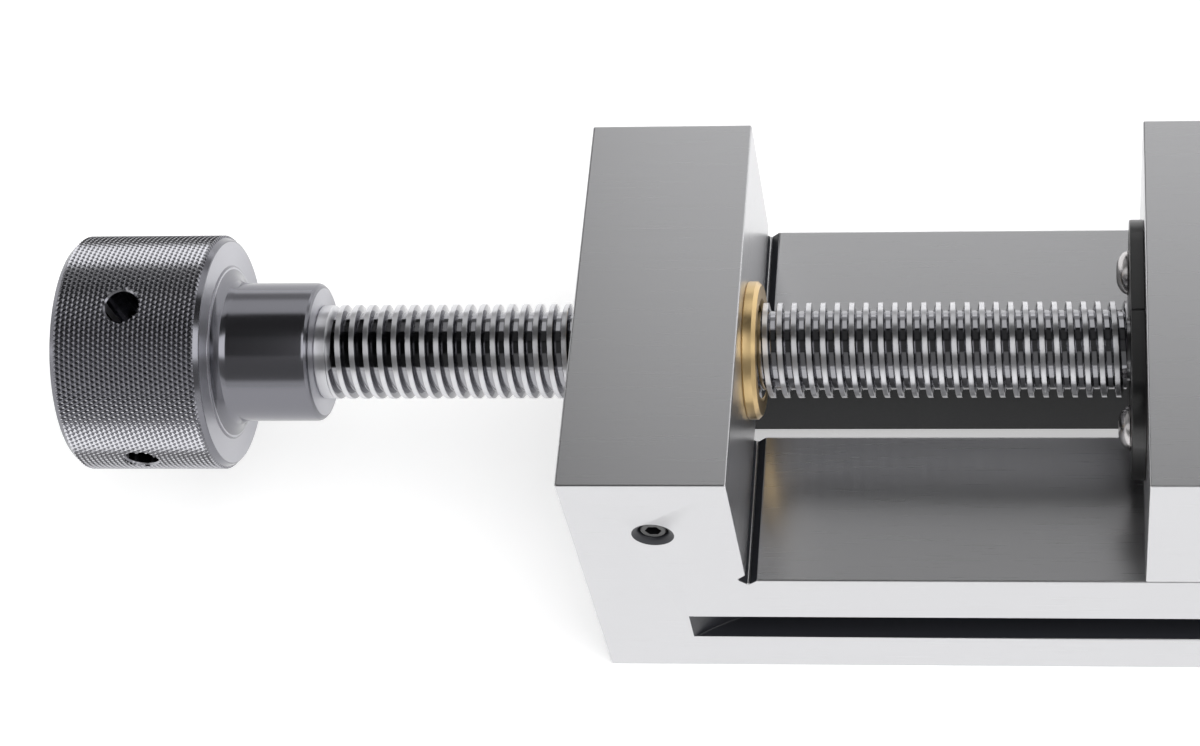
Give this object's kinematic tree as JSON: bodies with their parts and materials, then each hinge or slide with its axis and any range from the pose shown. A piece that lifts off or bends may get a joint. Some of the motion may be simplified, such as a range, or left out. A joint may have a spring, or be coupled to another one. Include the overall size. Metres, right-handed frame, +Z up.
{
  "type": "toolmakers vise",
  "caption": "Precision ground toolmaker's screw vise: one-piece body with a slotted bed and side clamp grooves, a sliding jaw, a lead screw and a knurled knob.",
  "frame": {"origin": "middle of the base, on the surface the vise stands on", "axes": "+X along the bed towards the fixed jaw, +Z up, the knob at the -X end"},
  "size_m": [0.3433, 0.088, 0.0849],
  "materials": {
    "ground_steel": "hardened tool steel, surface ground",
    "bright_steel": "turned bright steel",
    "black_steel": "black oxide",
    "bronze": "turned bronze"
  },
  "bodies": {
    "vise_frame": {"vise_body": "ground_steel", "screw_nut": "bronze", "nut_lock_screw": "black_steel"},
    "jaw_carriage": {"movable_jaw": "ground_steel", "keeper_plate": "ground_steel", "keeper_bolt_rear": "black_steel", "keeper_bolt_front": "black_steel", "keeper_washer_rear": "bright_steel", "keeper_washer_front": "bright_steel", "retainer_half_near": "black_steel", "retainer_half_far": "black_steel", "retainer_screw_near": "bright_steel", "retainer_screw_far": "bright_steel"},
    "screw_and_knob": {"lead_screw": "bright_steel", "thrust_button": "bright_steel", "knob": "black_steel", "knob_grub_screw": "black_steel"}
  },
  "joints": [
    {"name": "jaw_slide", "type": "slide", "parent": "vise_frame", "child": "jaw_carriage", "axis": [1, 0, 0], "range_m": [-0.075, 0.0485]},
    {"name": "screw_turn", "type": "hinge", "parent": "jaw_carriage", "child": "screw_and_knob", "pos_m": [-0.001, 0, 0.06], "axis": [1, 0, 0], "range_deg": [-9000, 5820]}
  ],
  "couplings": [
    {"joint": "jaw_slide", "follows": "screw_turn", "m_per_rad": 0.00047746}
  ]
}
